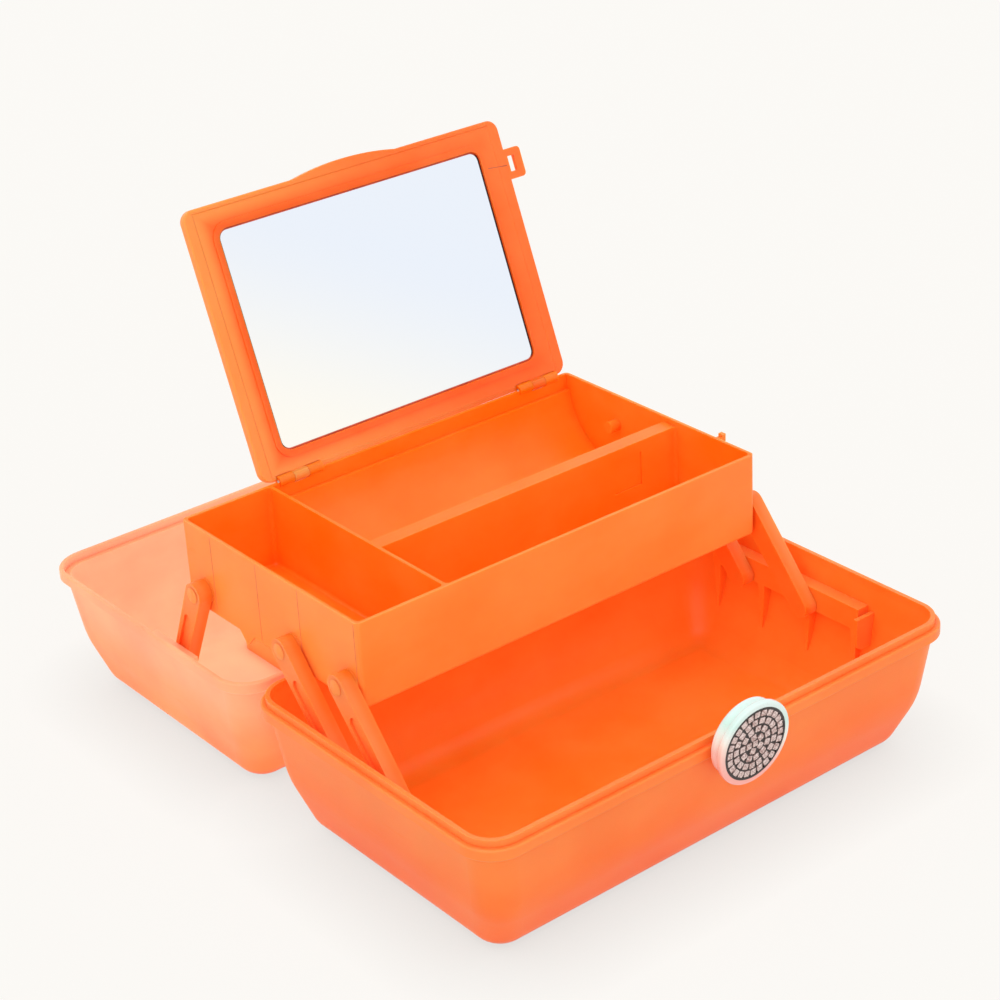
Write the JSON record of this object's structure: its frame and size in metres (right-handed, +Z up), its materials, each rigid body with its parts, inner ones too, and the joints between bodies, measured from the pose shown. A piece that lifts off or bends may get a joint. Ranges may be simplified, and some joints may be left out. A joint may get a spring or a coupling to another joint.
{
  "type": "makeup storage case",
  "caption": "Moulded make-up case that opens flat into two tubs, with a cantilever tray and a mirror lid that rise on linked arms, a round front latch and a folding handle.",
  "frame": {"origin": "middle of the open case on the surface it stands on", "axes": "+X to the right along the case hinge, +Y from the latch towards the back of the opened lid, +Z up"},
  "size_m": [0.33, 0.4326, 0.2965],
  "materials": {
    "case_plastic": "satin, slightly translucent vivid orange",
    "tray_plastic": "satin, slightly translucent vivid orange",
    "arm_plastic": "satin orange",
    "mirror_glass": "silvered, polished",
    "button_plastic": "pearl white with a green and pink sheen",
    "black_plastic": "matt black",
    "pin_steel": "drawn wire"
  },
  "bodies": {
    "base": {"base_shell": "case_plastic", "latch_pin": "pin_steel", "case_hinge_pin_left": "pin_steel", "case_hinge_pin_right": "pin_steel", "front_arm_pin_left": "arm_plastic", "front_arm_pin_right": "arm_plastic", "rear_arm_pin_left": "arm_plastic", "rear_arm_pin_right": "arm_plastic"},
    "lid": {"lid_shell": "case_plastic", "handle_pin_left": "pin_steel", "handle_pin_right": "pin_steel"},
    "front_arms": {"front_arm_left": "arm_plastic", "front_arm_right": "arm_plastic"},
    "rear_arms": {"rear_arm_left": "arm_plastic", "rear_arm_right": "arm_plastic"},
    "tray": {"tray_body": "tray_plastic", "front_arm_rivet_left": "arm_plastic", "front_arm_rivet_right": "arm_plastic", "rear_arm_rivet_left": "arm_plastic", "rear_arm_rivet_right": "arm_plastic", "lid_arm_rivet_left": "arm_plastic", "lid_arm_rivet_right": "arm_plastic", "mirror_hinge_pin_left": "pin_steel", "mirror_hinge_pin_right": "pin_steel"},
    "lid_arms": {"lid_arm_left": "arm_plastic", "lid_arm_right": "arm_plastic", "lid_arm_pin_left": "arm_plastic", "lid_arm_pin_right": "arm_plastic"},
    "mirror_lid": {"mirror_frame": "tray_plastic", "mirror_glass": "mirror_glass"},
    "latch": {"latch_button": "button_plastic", "latch_ring": "black_plastic", "latch_stone_plate": "black_plastic"},
    "handle": {"handle_bail": "case_plastic"}
  },
  "joints": [
    {"name": "lid_hinge", "type": "hinge", "parent": "base", "child": "lid", "pos_m": [0, 0.0073, 0.07915], "axis": [1, 0, 0], "range_deg": [0, 180]},
    {"name": "front_arm_pivot", "type": "hinge", "parent": "base", "child": "front_arms", "pos_m": [0, -0.1047, 0.0575], "axis": [1, 0, 0], "range_deg": [0, 110.5]},
    {"name": "rear_arm_pivot", "type": "hinge", "parent": "base", "child": "rear_arms", "pos_m": [0, -0.0537, 0.0575], "axis": [1, 0, 0], "range_deg": [0, 110.5]},
    {"name": "tray_pivot", "type": "hinge", "parent": "front_arms", "child": "tray", "pos_m": [0, -0.0613, 0.1073], "axis": [1, 0, 0], "range_deg": [-110.5, 0]},
    {"name": "lid_arm_pivot", "type": "hinge", "parent": "tray", "child": "lid_arms", "pos_m": [0, 0.074, 0.1073], "axis": [1, 0, 0], "range_deg": [0, 224.98]},
    {"name": "mirror_hinge", "type": "hinge", "parent": "tray", "child": "mirror_lid", "pos_m": [0, 0.0933, 0.1443], "axis": [1, 0, 0], "range_deg": [0, 111.6]},
    {"name": "latch_hinge", "type": "hinge", "parent": "base", "child": "latch", "pos_m": [0, -0.2057, 0.062], "axis": [1, 0, 0], "range_deg": [-5.5, 25]},
    {"name": "handle_hinge", "type": "hinge", "parent": "lid", "child": "handle", "pos_m": [0, 0.11355, 0.006], "axis": [-1, 0, 0], "range_deg": [0, 90]}
  ],
  "couplings": [
    {"joint": "front_arm_pivot", "follows": "lid_hinge", "ratio": 0.61111},
    {"joint": "rear_arm_pivot", "follows": "lid_hinge", "ratio": 0.61111},
    {"joint": "tray_pivot", "follows": "lid_hinge", "ratio": -0.61111},
    {"joint": "lid_arm_pivot", "follows": "lid_hinge", "ratio": 1.2471},
    {"joint": "mirror_hinge", "follows": "lid_hinge", "ratio": 0.61722}
  ]
}
